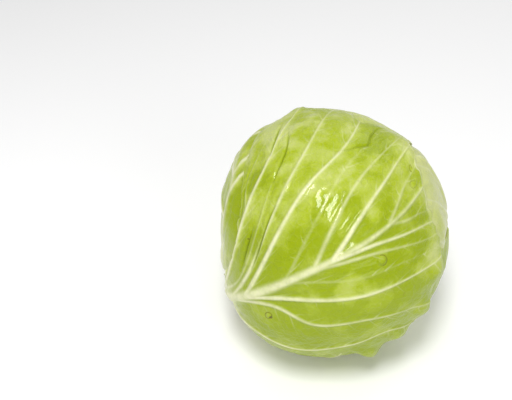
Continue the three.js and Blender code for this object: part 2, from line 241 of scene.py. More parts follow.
def fanned_ribs(midrib, upper, lower, pairs, bow, clasp=None):
    """The ribs of a leaf drawn by rule, as the solids have them."""
    (base, base_side), tip = midrib[0], midrib[-1][0]
    ribs = []
    for i in range(pairs + 1):
        along = i / pairs
        start = base + (tip - base) * 0.74 * along ** 1.25
        rib = {"start": start, "strength": 1 - 0.45 * along if i else 0}
        for half, reach in (("upper", upper), ("lower", -lower)):
            turn = (112 + (9 - 112) * along ** 0.85) * RAD
            end = (tip * math.cos(turn), reach * math.sin(turn))
            basal = (clasp or {}).get(half) or [
                (base, base_side + math.copysign(8, reach)),
                (base + 6, base_side + (reach - base_side) * 0.36),
                (base + (end[0] - base) * 0.5, reach * 0.78),
            ]
            middle = ((start + end[0]) / 2 + bow * (1 - along), end[1] * 0.44)
            rib[half] = [middle, end] if i else basal + [end]
        ribs.append(rib)
    ribs.append({"start": tip * 0.78, "strength": 0, "upper": [(tip, 0)], "lower": [(tip, 0)]})
    return ribs


# The front leaf's ribs: the start on the midrib, the strength, and the way of the upper and of the lower rib.
FRONT_RIBS = [
    (-77, 0, [(-75, 5.5), (-46, 16), (-28, 38), (-20, 62), (-7, 91)],
     [(-75, -5.5), (-62, -24), (-48, -43), (-26, -50), (-8, -69)]),
    (-71, 1, [(-49, 12), (-27, 32), (-9, 49), (5, 70), (20, 92)],
     [(-52, -19), (-33, -37), (-9, -46), (9, -49), (24, -63)]),
    (-51, 0.8, [(-33, 9), (-7, 31), (17, 54), (43, 84)],
     [(-29, -9), (-15, -24), (7, -33), (23, -42), (37, -53)]),
    (-40, 1, [(-20, 13), (6, 31), (33, 46), (53, 64)], [(-22, -7), (6, -19), (36, -26), (56, -32)]),
    (-17, 0.36, [(5, 17), (26, 33), (48, 44), (65, 53)], [(-6, -5), (12, -12), (36, -18), (58, -25)]),
    (-3, 0.6, [(12, 13), (29, 25), (50, 35), (70, 42)], [(20, -5), (35, -10), (59, -18)]),
    (6, 0.9, [(22, 10), (34, 17), (50, 25), (68, 33)], [(26, -2.5), (42, -6), (60, -11)]),
    (34, 0.5, [(47, 12), (56, 17), (66, 23)], [(44, -0.5), (61, -3)]),
    (47, 0, [(63, 9)], [(63, 9)]),
]

# Small hurts on the front leaf: where, how wide across and along, turn, how dark, and how far it goes round.
RINGS_AND_SPOTS = [
    ((-34, -13), (2.6, 2.2), 20, 1.0, 360),
    ((-33.3, -14.2), (0.8, 0.6), 0, 1.6, 360),
    ((24, -10), (3.6, 3.6), -110, 0.9, 190),
    ((57, 13), (3.2, 2.8), 10, 0.7, 330),
    ((60, 21), (1.0, 2.6), -20, 0.8, 300),
    ((26, -31), (1.6, 0.5), 30, 0.5, 360),
    ((-50, -44), (0.9, 0.5), 0, 1.0, 360),
    ((-28, 23), (0.35, 0.35), 0, 1.0, 360),
    ((46, 27), (0.9, 0.7), 0, 0.35, 360),
    ((30, 26), (0.5, 0.5), 0, 0.4, 360),
]

# Low ridges between the front leaf's ribs: the way, the strength, and the half width at either end.
FLUTES = [
    ([(-56, 10), (-42, 29), (-37, 41), (-33, 51), (-27, 66), (-20, 80), (-12, 90)], 0.8, (2.6, 1.4)),
    ([(-24, 36), (-19, 49), (-12, 58), (-5, 68)], 0.4, (1.4, 0.8)),
    ([(-33, 30), (-26, 42), (-23, 52), (-20, 62)], 0.35, (1.2, 0.8)),
    ([(-66, 2), (-44, 6), (-31, 15), (-21, 25), (-12, 35), (-7, 41)], 0.55, (2.4, 1.2)),
    ([(-60, 6), (-45, 18), (-36, 27), (-28, 38)], 0.4, (1.8, 1.0)),
    ([(-64, 10), (-52, 30), (-46, 46), (-40, 62), (-32, 80)], 0.7, (2.2, 1.2)),
    ([(-54, 14), (-45, 24), (-39, 34), (-34, 46), (-28, 58)], 0.5, (1.8, 1.0)),
]

# Creases in the front leaf: the way, the depth, and the half width at either end.
CREASES = [
    ([(-23, 27), (-31, 19), (-39, 11)], 1.6, (0.9, 0.7)),
    ([(-7, 32), (-12, 28), (-17, 23), (-23, 17), (-33, 8)], 1.5, (0.9, 0.7)),
    ([(4, 76), (-1, 63), (-5, 54)], 1.2, (1.2, 0.8)),
    ([(8, 67), (5, 56), (1, 50), (-5, 43), (-8, 40)], 1.2, (1.0, 0.8)),
    ([(-21, 82), (-20, 71), (-18, 61)], 0.9, (1.0, 0.8)),
    ([(-29, 53), (-34, 61), (-35, 66)], 1.0, (0.9, 0.7)),
    ([(27, 44), (33, 43), (39, 43), (44, 42), (49, 47), (58, 52), (66, 52)], 1.2, (1.0, 0.8)),
    ([(-12, 60), (-21, 47), (-30, 33), (-42, 18)], 0.6, (1.4, 1.0)),
    ([(-50, 22), (-43, 36), (-38, 50), (-31, 70)], 1.1, (1.2, 0.8)),
    ([(-57, 26), (-50, 42), (-44, 58)], 1.0, (1.1, 0.8)),
]

# The leaves, from the outermost inwards. Each is drawn in a plane of its own, in degrees from its middle: +x
# to the tip and +y to its upper side. A loose place is where the margin stands off the head, or is pressed
# down where its height is below zero: the angle round the leaf's middle, its width and its height. A dip is
# where the margin reaches less far. A lush place is greener, and one with a strength below zero is paler:
# its place, width and strength.
LEAVES = [
    {
        "name": "front_leaf", "slot": "green_leaf", "pale": 0.0, "grid": 290,
        "theta": 90, "phi": 0, "turn": 0,
        "midrib": [(-77, 0), (-41, -1), (-5, 0), (23, 1), (43, 4), (63, 9)],
        "ribs": [{"start": s, "strength": k, "upper": u, "lower": d} for s, k, u, d in FRONT_RIBS],
        "loose": [(-96, 5, 6.5), (-78, 6, 4), (-59, 7, 4.5), (-37, 7, 3.5), (81, 5, 3)],
        "dips": [(50, 7, 5.5)],
        "lush": [(-13, 11, 9, 1.0), (-8, 4, 7, 1.0), (-21, -1, 6, 0.7), (18, 14, 9, 1.0), (5, 11, 7, 0.9),
                 (-30, -12, 9, 1.0), (-14, -16, 9, 1.0), (-29, -22, 10, 1.0), (-44, -22, 9, 0.9),
                 (40, -8, 9, 1.0), (24, -40, 10, 0.9), (2, -26, 9, 0.6), (-12, -40, 8, 0.6),
                 (48, 40, 8, 0.6), (-38, -8, 7, 0.7), (14, 21, 6, 0.6),
                 (16, 29, 8, -0.5), (-2, 50, 8, -0.4), (-40, 28, 11, -0.8), (-22, 36, 9, -0.4),
                 (30, 10, 7, -0.6), (7, -15, 7, -0.45), (44, -25, 8, -0.5), (55, -22, 7, -0.5)],
        "marks": RINGS_AND_SPOTS,
        "flutes": FLUTES,
        "grooves": CREASES,
        "blisters": [((24, -10), 3.3, 0.9), ((58, 13), 3.0, 0.5), ((-34, -13), 2.2, 0.4)],
    },
    {
        "name": "left_leaf", "slot": "green_leaf", "pale": 0.3, "grid": 235,
        "theta": 86, "phi": -96, "turn": 35,
        "midrib_strength": 0.6,
        "midrib": [(-70, 37), (-66, 14), (-58, -8), (-41, -14), (-24, -6), (-4, -3), (72, 0)],
        "fan": {
            "upper": 72, "lower": 66, "pairs": 5, "bow": 7,
            "clasp": {
                "upper": [(-65, 41), (-52, 54), (-40, 64)],
                "lower": [(-76, 32), (-82, 10), (-73, -24), (-50, -50)],
            },
        },
    },
    {
        "name": "under_leaf", "slot": "green_leaf", "pale": 0.1, "grid": 225,
        "theta": 86, "phi": 100, "turn": 0,
        "loose": [(19, 16, -1.75)],
        "midrib": [(-73, 0), (0, -2), (70, 0)],
        "fan": {"upper": 68, "lower": 70, "pairs": 5, "bow": 6},
    },
    {
        "name": "back_leaf", "slot": "green_leaf", "pale": 0.25, "grid": 225,
        "theta": 90, "phi": 186, "turn": 0,
        "midrib": [(-77, 0), (0, 2), (72, 0)],
        "fan": {"upper": 72, "lower": 72, "pairs": 5, "bow": 8},
    },
    {
        "name": "crown_leaf", "slot": "pale_leaf", "pale": 0.85, "grid": 225,
        "theta": 138, "phi": 128, "turn": 0,
        "midrib": [(-96, 0), (0, 2), (84, 0)],
        "fan": {"upper": 76, "lower": 76, "pairs": 5, "bow": 5},
    },
]


def leaf_frame(leaf):
    """The leaf's middle, the way to its tip and the way to its upper side."""
    middle = direction(leaf["theta"], leaf["phi"])
    tip = direction(leaf["theta"] + 90, leaf["phi"])
    side = np.cross(middle, tip)
    turn = leaf["turn"] * RAD
    tip = math.cos(turn) * tip + math.sin(turn) * side
    return middle, tip, np.cross(middle, tip)


def ways_of(leaf, x, y):
    """The directions of places in the leaf's plane."""
    middle, tip, side = leaf["frame"]
    away = np.hypot(x, y)
    turn = np.sin(away * RAD) / np.maximum(away, 1e-6)
    return (np.cos(away * RAD)[..., None] * middle
            + (x * turn)[..., None] * tip + (y * turn)[..., None] * side)


def plane_of(leaf, ways):
    """The places of directions in the leaf's plane."""
    middle, tip, side = leaf["frame"]
    x, y = ways @ tip, ways @ side
    away = np.arccos(np.clip(ways @ middle, -1, 1)) / RAD
    long = np.maximum(np.hypot(x, y), 1e-9)
    return x / long * away, y / long * away


def midrib_side(leaf, x):
    points = np.array(leaf["midrib"])
    return np.interp(x, points[:, 0], points[:, 1])


def prepare(leaf):
    """A leaf's frame, its rib curves, and how far it reaches at each angle round its middle."""
    leaf["frame"] = leaf_frame(leaf)
    if "ribs" not in leaf:
        leaf["ribs"] = fanned_ribs(leaf["midrib"], **leaf["fan"])
    leaf["curves"] = {"upper": [], "lower": []}
    for half, curves in leaf["curves"].items():
        for rib in leaf["ribs"]:
            curves.append(curve_through([(rib["start"], midrib_side(leaf, rib["start"]))] + rib[half]))
    edge = []
    for half in ("upper", "lower"):
        curves = leaf["curves"][half]
        edge += list(curves[0][::4])
        for a, b in zip(curves[:-1], curves[1:]):
            out = (a[-1] - a[-6]) + (b[-1] - b[-6])
            out = out / np.linalg.norm(out)
            edge += [a[-1], (a[-1] + b[-1]) / 2 + SCALLOP * out]
        edge.append(curves[-1][-1])
    edge = np.array(edge)
    turns = np.degrees(np.arctan2(edge[:, 1], edge[:, 0]))
    order = np.argsort(turns)
    bins = np.arange(-180, 180, 0.25)
    reach = np.interp(bins, turns[order], np.hypot(*edge[order].T), period=360)
    kernel = np.hanning(13) / np.hanning(13).sum()
    reach = np.convolve(np.concatenate([reach[-6:], reach, reach[:6]]), kernel, "valid")
    rng = np.random.default_rng(sum(map(ord, leaf["name"])))
    for waves, size in ((11, 0.5), (23, 0.45), (41, 0.3), (67, 0.2), (113, 0.12)):
        reach += size * rng.uniform(0.6, 1.2) * np.sin(waves * bins * RAD + rng.uniform(0, 6.28))
    for turn, width, depth in leaf.get("dips", ()):
        reach -= depth * np.exp(-((bins - turn) / width) ** 2)
    leaf["bins"], leaf["reach"] = bins, reach


def reach_at(leaf, turns):
    return np.interp(turns, leaf["bins"], leaf["reach"], period=360)


def past_margin(leaf, ways):
    """How far outside the leaf's margin each direction is, in degrees. Below zero is on the leaf."""
    x, y = plane_of(leaf, ways)
    return np.hypot(x, y) - reach_at(leaf, np.degrees(np.arctan2(y, x)))


def pressed_by(outer, ways, zone=(-2, 11)):
    """How deep the leaves outside push what lies under them, and how far they cover it."""
    sink, covered = np.zeros(ways.shape[:-1]), np.zeros(ways.shape[:-1])
    for leaf in outer:
        past = past_margin(leaf, ways)
        sink += LEAF_PITCH * (1 - smoothstep(*zone, past))
        covered = np.maximum(covered, 1 - smoothstep(1, 8, past))
    return sink, covered


def draw_ribs(leaf, chart):
    midrib = curve_through(leaf["midrib"], 121)
    chart.rib(midrib, MIDRIB_HEIGHT, MIDRIB_HALF, leaf.get("midrib_strength", 1.0))
    for half in ("upper", "lower"):
        for rib, path in zip(leaf["ribs"], leaf["curves"][half]):
            if rib["strength"]:
                wobble = 0.5 * np.sin(np.linspace(0, 9, len(path)) + rib["start"])[:, None]
                sideways = np.gradient(path, axis=0)[:, ::-1] * (-1, 1)
                sideways /= np.maximum(np.linalg.norm(sideways, axis=1, keepdims=True), 1e-6)
                fade = np.linspace(0, 1, len(path))[:, None]
                chart.rib(path + wobble * sideways * fade, RIB_HEIGHT, RIB_HALF, rib["strength"])


def draw_veins(leaf, chart, rng):
    """Side veins leave each rib at a slant, end midway to the next rib, and fork into twigs."""
    for half in ("upper", "lower"):
        curves = leaf["curves"][half]
        for a, b in zip(curves[:-1], curves[1:]):
            length = (length_of(a) + length_of(b)) / 2 * MM_PER_DEGREE
            ends = []
            for side in (0, 1):
                start = rng.uniform(0.03, 0.12)
                while start < 0.96:
                    ends.append(side_vein(chart, (a, b), side, start, length, rng))
                    start += rng.uniform(8, 18) / length
            ends = sorted(end for end in ends if end)
            for (w0, s0), (w1, s1) in zip(ends[:-1], ends[1:]):
                t = np.linspace(0, 1, 7)
                share = s0 + (s1 - s0) * t + rng.uniform(-0.06, 0.06) * np.sin(t * math.pi)
                chart.vein(between(a, b, share, w0 + (w1 - w0) * t), 0.3, (0.6, 0.6), rng.uniform(0.3, 0.5))


def side_vein(chart, curves, side, start, length, rng):
    """One side vein from a rib towards the next one. Gives back where it ends."""
    at = int(start * 80)
    gap = np.linalg.norm(curves[1][at] - curves[0][at]) * MM_PER_DEGREE
    if gap < 4.5:
        return None
    reach = rng.uniform(0.34, 0.62)
    t = np.linspace(0, 1, 13)
    slant = 1 + 10 / gap
    forward = slant * reach * gap / length * (rng.uniform(0.4, 0.8) * t + rng.uniform(0.1, 0.6) * t * t)
    wobble = 0.35 / length * np.sin(t * rng.uniform(6, 12) + rng.uniform(0, 6))
    share = reach * t
    path = between(*curves, share if side == 0 else 1 - share, np.clip(start + forward + wobble, 0, 1))
    chart.vein(path, 0.45, (0.85, 0.5), rng.uniform(0.55, 1.0))
    twigs(chart, path, rng)
    return min(start + forward[-1], 1), share[-1] if side == 0 else 1 - share[-1]


def ring(spot, size, turn, round_way):
    """A ring or an arc in a leaf's plane, its size in millimetres."""
    t = np.linspace(0, round_way, 25) * RAD
    x, y = size[0] / MM_PER_DEGREE * np.cos(t), size[1] / MM_PER_DEGREE * np.sin(t)
    c, d = math.cos(turn * RAD), math.sin(turn * RAD)
    return np.stack([spot[0] + c * x - d * y, spot[1] + d * x + c * y], axis=1)


def between(a, b, share, w):
    """Places a share of the way from one rib to the next, w along them."""
    at = np.linspace(0, 1, len(a))
    p = np.stack([np.interp(w, at, a[:, k]) for k in (0, 1)], axis=1)
    q = np.stack([np.interp(w, at, b[:, k]) for k in (0, 1)], axis=1)
    return p + (q - p) * np.asarray(share)[:, None]


def twigs(chart, path, rng):
    """Three short veins that leave a side vein."""
    for at in rng.choice(np.arange(2, 11), 3, replace=False):
        way = path[at + 1] - path[at]
        way /= max(np.linalg.norm(way), 1e-6)
        side = np.array([-way[1], way[0]]) * rng.choice((-1, 1))
        long = rng.uniform(1.6, 4.6)
        t = np.linspace(0, 1, 6)[:, None]
        forward = rng.uniform(0.3, 0.8) * t + rng.uniform(-0.4, 0.6) * t * t
        twig = path[at] + long * (side * t + way * forward)
        chart.vein(twig, 0.22, (0.5, 0.35), rng.uniform(0.25, 0.5))


def disk_grid(count):
    """A square grid folded onto the unit disk: radius and angle in degrees of each point."""
    line = np.linspace(-1, 1, count + 1)
    u, v = np.meshgrid(line, line, indexing="ij")
    wide = np.abs(u) > np.abs(v)
    radius = np.where(wide, u, v)
    safe = np.where(radius == 0, 1, radius)
    turn = np.where(wide, math.pi / 4 * v / safe, math.pi / 2 - math.pi / 4 * u / safe)
    x, y = radius * np.cos(turn), radius * np.sin(turn)
    return np.hypot(x, y), np.degrees(np.arctan2(y, x))


def rim_order(count):
    """The grid's border corners in order round it."""
    side = np.arange(count)
    i = np.concatenate([side, np.full(count, count), count - side, np.zeros(count, int)])
    j = np.concatenate([np.zeros(count, int), side, np.full(count, count), count - side])
    return i * (count + 1) + j


def grid_faces(count, flip):
    """Two triangles for each square of the folded grid."""
    at = np.arange((count + 1) ** 2).reshape(count + 1, count + 1)
    a, b, c, d = at[:-1, :-1].ravel(), at[1:, :-1].ravel(), at[1:, 1:].ravel(), at[:-1, 1:].ravel()
    place = np.arange(count) + 0.5 - count / 2
    same = (place[:, None] * place[None, :] > 0).ravel()[:, None]   # cut each square towards the middle
    faces = np.vstack([
        np.where(same, np.stack([a, b, c], 1), np.stack([a, b, d], 1)),
        np.where(same, np.stack([a, c, d], 1), np.stack([b, c, d], 1)),
    ])
    return faces[:, ::-1] if flip else faces


def leaf_surface(leaf, chart, outer, radius, turn):
    """The outer and inner radius over a leaf's grid, with what its material reads."""
    reach = radius * reach_at(leaf, turn)
    x, y = reach * np.cos(turn * RAD), reach * np.sin(turn * RAD)
    ways = ways_of(leaf, x, y)
    sink, covered = pressed_by(outer, ways)
    from_margin = (1 - radius) * reach_at(leaf, turn)
    rim_mm = from_margin * MM_PER_DEGREE
    rib, groove = chart.read("rib", x, y), chart.read("groove", x, y) + 0.25 * chart.read("mark", x, y)
    swell = PUFF * (1 - np.exp(-(chart.read("from_rib", x, y) / 7) ** 2))
    swell += VEIN_PUFF * (1 - np.exp(-(chart.read("from_vein", x, y) / 2.4) ** 2))
    tuck = (0.5 + 0.5 * wavy(ways, 21, 24)) * 0.5 * np.exp(-rim_mm / 4)
    lift = swell * smoothstep(0, 8, rim_mm) + tuck - groove
    for at, width, height in leaf.get("loose", ()):
        lift += height * np.exp(-((turn - at) / width) ** 2) * (1 - smoothstep(0, 17, from_margin))
    lift *= 1 - covered
    relief = rib * (1 - covered) + np.minimum(rib, COVERED_RELIEF) * covered
    floor = floor_distance(ways)
    rest = np.minimum(head_radius(ways), floor) - sink + lift
    thick = BLADE_EDGE + (BLADE - BLADE_EDGE) * smoothstep(0, 10, rim_mm)
    from_base = np.hypot(x - leaf["midrib"][0][0], y - leaf["midrib"][0][1])
    relief *= smoothstep(0, 1.5 + 6 * (1 - smoothstep(8, 16, from_base)), rim_mm + 0.3)
    outside = np.minimum(rest + relief, floor)
    inside = np.minimum(rest, floor) - thick
    return {"ways": ways, "x": x, "y": y, "outside": outside, "inside": inside, "rim": rim_mm}


def placed(ways, radius):
    """Places in the scene, in metres, none of them below the floor."""
    spots = (ways * radius[..., None]) @ HEAD_TURN.T
    spots[..., 2] = np.maximum(spots[..., 2] + MIDDLE_HEIGHT, 0)
    return spots.reshape(-1, 3) * METRE


def draw_leaf(leaf):
    """The chart of a leaf, with all that its surface and its material show."""
    chart = Chart()
    draw_ribs(leaf, chart)
    draw_veins(leaf, chart, np.random.default_rng(100 + sum(map(ord, leaf["name"]))))
    for path, strength, half in leaf.get("flutes", ()):
        chart.rib(curve_through(path), RIB_HEIGHT, half, strength)
    for spot, half, height in leaf.get("blisters", ()):
        chart.blister(spot, half, height)
    for path, depth, half in leaf.get("grooves", ()):
        chart.groove(curve_through(path, 31), depth, half)
    for spot, size, turn, strength, round_way in leaf.get("marks", ()):
        chart.mark(ring(spot, size, turn, round_way), 0.4, strength)
    return chart


def leaf_piece(leaf, outer):
    """One leaf as a closed blade: a fine outer face, a coarser inner face, and the margin between them."""
    chart = draw_leaf(leaf)
    count = leaf["grid"]
    top = leaf_surface(leaf, chart, outer, *disk_grid(count))
    below = leaf_surface(leaf, chart, outer, *disk_grid(count // INNER_STEP))
    outside = placed(top["ways"], top["outside"])
    inside = placed(below["ways"], below["inside"])
    shift = len(outside)
    rim, inner_rim = rim_order(count), rim_order(count // INNER_STEP) + shift
    faces = [grid_faces(count, False), grid_faces(count // INNER_STEP, True) + shift]
    n, m = len(rim), len(inner_rim)
    k = np.arange(n)
    nearest = ((k + INNER_STEP // 2) // INNER_STEP) % m
    faces.append(np.stack([rim[(k + 1) % n], rim[k], inner_rim[nearest]], 1))
    steps = np.nonzero(nearest != np.roll(nearest, -1))[0]
    faces.append(np.stack([rim[(steps + 1) % n], inner_rim[nearest[steps]],
                           inner_rim[nearest[(steps + 1) % n]]], 1))
    data = {
        name: np.concatenate([chart.read(name, s["x"], s["y"]).ravel() for s in (top, below)])
        for name in ("vein", "halo", "groove", "mark")
    }
    data["rim"] = np.concatenate([s["rim"].ravel() for s in (top, below)])
    data["pale"] = np.concatenate([paleness(leaf, s).ravel() for s in (top, below)])
    data["base"] = np.concatenate([near_stem(s["ways"]).ravel() for s in (top, below)])
    # The painted highlight along the front leaf's margin over the crown.
    data["edge_highlight"] = np.concatenate([painted_edge_highlight(leaf, s).ravel() for s in (top, below)])
    uv = np.concatenate([np.stack([s["x"].ravel(), s["y"].ravel()], 1) for s in (top, below)]) * MM_PER_DEGREE
    piece = mesh_piece(leaf["name"] + "_blade", np.vstack([outside, inside]), np.vstack(faces), data, uv)
    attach(piece, "root")
    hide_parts(leaf["name"])
    return piece


def painted_edge_highlight(leaf, surface):
    """A painted highlight: a whitish band a few millimetres wide along the front leaf's margin over the
    crown.
    """
    if leaf["name"] != "front_leaf":
        return np.zeros(surface["x"].shape)
    turn = np.degrees(np.arctan2(surface["y"], surface["x"]))
    along = np.exp(-((turn - 12) / 17) ** 2)
    wide = 2.4 + 1.2 * wavy(surface["ways"], 51, 14)
    rim = surface["rim"]
    return 0.85 * along * smoothstep(0.2, 1.2, rim) * (1 - smoothstep(wide, 2.2 * wide, rim))


def near_stem(ways):
    """1 where the leaves grow out of the stem, 0 well away from it."""
    theta = np.arccos(np.clip(-ways[..., 2], -1, 1)) / RAD + 3 * wavy(ways, 41, 9)
    fluted = np.arccos(np.clip(ways @ direction(48, -32), -1, 1)) / RAD
    return 1 - smoothstep(10, 42 + 20 * np.exp(-(fluted / 26) ** 2), theta)


def paleness(leaf, surface):
    """Where a blade is pale: at its base, on the inner leaves, and in soft patches."""
    x, y, ways = surface["x"], surface["y"], surface["ways"]
    base = leaf["midrib"][0]
    from_base = np.hypot(x - base[0], (y - base[1]) * np.where(y > 0, 0.6, 1.3))
    pale = 0.85 * np.exp(-(from_base / 26) ** 2) + leaf["pale"]
    pale += 0.22 * wavy(ways, 31, 6) + 0.1 * wavy(ways, 32, 17)
    if leaf["name"] == "left_leaf":
        pale += 0.35 * smoothstep(20, 50, x)
        pale += np.exp(-(np.arccos(np.clip(ways @ direction(129, -88), -1, 1)) / RAD / 15) ** 4)
    if leaf["name"] == "front_leaf":
        pale += 0.12 + 0.45 * smoothstep(15, 70, y) + 0.2 * smoothstep(35, 65, x)
    for px, py, width, strength in leaf.get("lush", ()):
        pale -= strength * np.exp(-((x - px) ** 2 + (y - py) ** 2) / width ** 2)
    return np.clip(pale, 0, 1)


def mesh_piece(name, spots, faces, data, uv):
    """A smooth mesh object, with one attribute for each entry of data."""
    mesh = bpy.data.meshes.new(name)
    mesh.vertices.add(len(spots))
    mesh.vertices.foreach_set("co", spots.astype(np.float32).ravel())
    mesh.loops.add(faces.size)
    mesh.loops.foreach_set("vertex_index", faces.astype(np.int32).ravel())
    mesh.polygons.add(len(faces))
    mesh.polygons.foreach_set("loop_start", np.arange(0, faces.size, 3, dtype=np.int32))
    mesh.polygons.foreach_set("use_smooth", np.ones(len(faces), bool))
    mesh.update(calc_edges=True)
    for key, values in data.items():
        mesh.attributes.new(key, "FLOAT", "POINT").data.foreach_set("value", values.astype(np.float32))
    layer = mesh.uv_layers.new(name="leaf_plane")
    layer.data.foreach_set("uv", (uv[faces.ravel()] * METRE).astype(np.float32).ravel())
    mesh.validate()
    piece = bpy.data.objects.new(name, mesh)
    bpy.context.scene.collection.objects.link(piece)
    return piece


def srgb(red, green, blue):
    """A colour from its screen values, 0 to 255."""
    screen = [value / 255 for value in (red, green, blue)]
    return tuple(v / 12.92 if v <= 0.04045 else ((v + 0.055) / 1.055) ** 2.4 for v in screen) + (1.0,)


class Shader:
    """A short way to write a material's nodes."""

    def __init__(self, name):
        self.material = bpy.data.materials.new(name)
        self.material.use_nodes = True
        self.tree = self.material.node_tree
        self.surface = self.tree.nodes["Principled BSDF"]

    def node(self, kind, inputs=(), **settings):
        node = self.tree.nodes.new(kind)
        for key, value in settings.items():
            setattr(node, key, value)
        for key, value in dict(inputs).items():
            self.feed(node.inputs[key], value)
        return node

    def feed(self, socket, value):
        if isinstance(value, bpy.types.NodeSocket):
            self.tree.links.new(value, socket)
        else:
            socket.default_value = value

    def attribute(self, name):
        return self.node("ShaderNodeAttribute", attribute_name=name).outputs["Fac"]

    def maths(self, operation, *values, clamp=False):
        node = self.node("ShaderNodeMath", enumerate(values), operation=operation, use_clamp=clamp)
        return node.outputs[0]

    def mix(self, share, a, b):
        node = self.node("ShaderNodeMix", data_type="RGBA", blend_type="MIX", clamp_factor=True)
        for socket, value in ((node.inputs[0], share), (node.inputs[6], a), (node.inputs[7], b)):
            self.feed(socket, value)
        return node.outputs[2]

    def noise(self, vector, scale, detail=3.0, roughness=0.55):
        return self.node("ShaderNodeTexNoise", {
            "Vector": vector, "Scale": scale, "Detail": detail, "Roughness": roughness}).outputs["Fac"]

    def ramp(self, value, low, high, to_low=0.0, to_high=1.0):
        """A soft step from to_low at low to to_high at high."""
        return self.node("ShaderNodeMapRange", {
            "Value": value, "From Min": low, "From Max": high, "To Min": to_low, "To Max": to_high},
            interpolation_type="SMOOTHSTEP").outputs["Result"]


def leaf_material(name, saturated, middle, pale, rib):
    """A waxy blade: yellow green between the ribs, paler along every vein."""
    # Colours for painted shade in the creases, for the bruised rings, and for painted shade in a small hole.
    painted_crease_shade, bruise, painted_hole_shade = srgb(96, 110, 10), srgb(112, 112, 20), srgb(48, 40, 12)
    s = Shader(name)
    spot = s.node("ShaderNodeTexCoord").outputs["Object"]
    plane = s.node("ShaderNodeUVMap", uv_map="leaf_plane").outputs["UV"]
    patches = s.noise(spot, 60, 4)
    fine = s.noise(spot, 420, 4)
    pale_share = s.maths("ADD", s.attribute("pale"), s.ramp(patches, 0.36, 0.66, -0.26, 0.26), clamp=True)
    blade = s.mix(s.ramp(pale_share, 0.0, 0.5), saturated, middle)
    blade = s.mix(s.ramp(pale_share, 0.4, 1.0), blade, pale)
    mottle = s.maths("MULTIPLY", s.ramp(fine, 0.4, 0.75, 0.0, 0.2), s.ramp(pale_share, 0.0, 0.5, 0.15, 1.0))
    blade = s.mix(mottle, blade, pale)

    # The finest net of veins, drawn in the leaf's own plane.
    bent = s.node("ShaderNodeVectorMath", {0: plane, 1: s.node("ShaderNodeVectorMath", {
        0: s.node("ShaderNodeTexNoise", {"Vector": plane, "Scale": 160.0, "Detail": 2.0}).outputs["Color"],
        "Scale": 0.0035}, operation="SCALE").outputs["Vector"]}, operation="ADD").outputs["Vector"]
    net = s.node("ShaderNodeTexVoronoi", {"Vector": bent, "Scale": 210.0},
                 feature="DISTANCE_TO_EDGE").outputs["Distance"]
    net_line = s.ramp(net, 0.0, 0.12, 1.0, 0.0)
    blade = s.mix(s.maths("MULTIPLY", net_line, s.ramp(pale_share, 0.0, 0.4, 0.05, 0.12)), blade, pale)

    # Ribs and veins, with a pale band beside them that lush places lack.
    spread = s.maths("MULTIPLY", s.attribute("halo"), s.ramp(pale_share, 0.0, 0.4, 0.1, 0.65))
    blade = s.mix(spread, blade, pale)
    uneven = s.ramp(s.noise(spot, 110, 3), 0.32, 0.6, 0.68, 1.0)
    vein_share = s.ramp(s.attribute("vein"), 0.03, 0.9)
    thin = s.ramp(vein_share, 0.0, 1.0, 1.0, 0.0)
    faint = s.maths("MULTIPLY", thin, s.ramp(pale_share, 0.0, 0.4, 0.05, 0.0))
    vein_share = s.maths("SUBTRACT", vein_share, faint, clamp=True)
    blade = s.mix(s.maths("MULTIPLY", vein_share, uneven), blade, rib)

    # The whitish base, painted shade in the creases, a painted highlight along the margin, and the small
    # hurts, with painted shade in a small hole.
    streaks = s.ramp(s.noise(spot, 240, 3), 0.3, 0.7, 0.65, 1.0)
    blade = s.mix(s.maths("MULTIPLY", s.attribute("base"), streaks), blade, rib)
    # Painted shade: each groove darkens towards the saturated green, and its deepest part towards a dark
    # olive.
    blade = s.mix(s.ramp(s.attribute("groove"), 0.05, 1.0, 0.0, 0.8), blade, saturated)
    blade = s.mix(s.ramp(s.attribute("groove"), 0.6, 1.5, 0.0, 0.6), blade, painted_crease_shade)
    # Painted highlight: a pale band along every margin, and a wider whitish band along the front leaf's
    # margin over the crown.
    blade = s.mix(s.ramp(s.attribute("rim"), 0.0, 1.6, 0.5, 0.0), blade, pale)
    blade = s.mix(s.attribute("edge_highlight"), blade, rib)
    blade = s.mix(s.ramp(s.attribute("mark"), 0.1, 1.0), blade, bruise)
    # Painted shade: a small hole shown as a dark brown spot, not cut through the blade.
    blade = s.mix(s.ramp(s.attribute("mark"), 1.1, 1.5), blade, painted_hole_shade)

    bump_height = s.maths("ADD", s.maths("MULTIPLY", fine, 0.5), s.maths("MULTIPLY", net_line, 0.45))
    bump_height = s.maths("ADD", bump_height, s.maths("MULTIPLY", s.noise(spot, 120, 3), 2.2))
    bump_height = s.maths("ADD", bump_height, s.maths("MULTIPLY", s.noise(spot, 50, 2), 4.0))
    bump = s.node("ShaderNodeBump", {"Height": bump_height, "Distance": 0.0005, "Strength": 0.6})
    s.feed(s.surface.inputs["Base Color"], blade)
    s.feed(s.surface.inputs["Roughness"], s.ramp(s.noise(spot, 90, 3), 0.3, 0.7, 0.3, 0.46))
    s.feed(s.surface.inputs["Normal"], bump.outputs["Normal"])
    s.surface.inputs["Subsurface Weight"].default_value = 0.15
    s.surface.inputs["Subsurface Radius"].default_value = (0.8, 1.0, 0.1)
    s.surface.inputs["Subsurface Scale"].default_value = 0.0025
    s.surface.inputs["Specular IOR Level"].default_value = 0.14
    s.surface.inputs["Specular Tint"].default_value = (1.0, 1.0, 0.3, 1.0)
    s.surface.inputs["Coat Weight"].default_value = 0.36
    s.surface.inputs["Coat Roughness"].default_value = 0.11
    return s.material


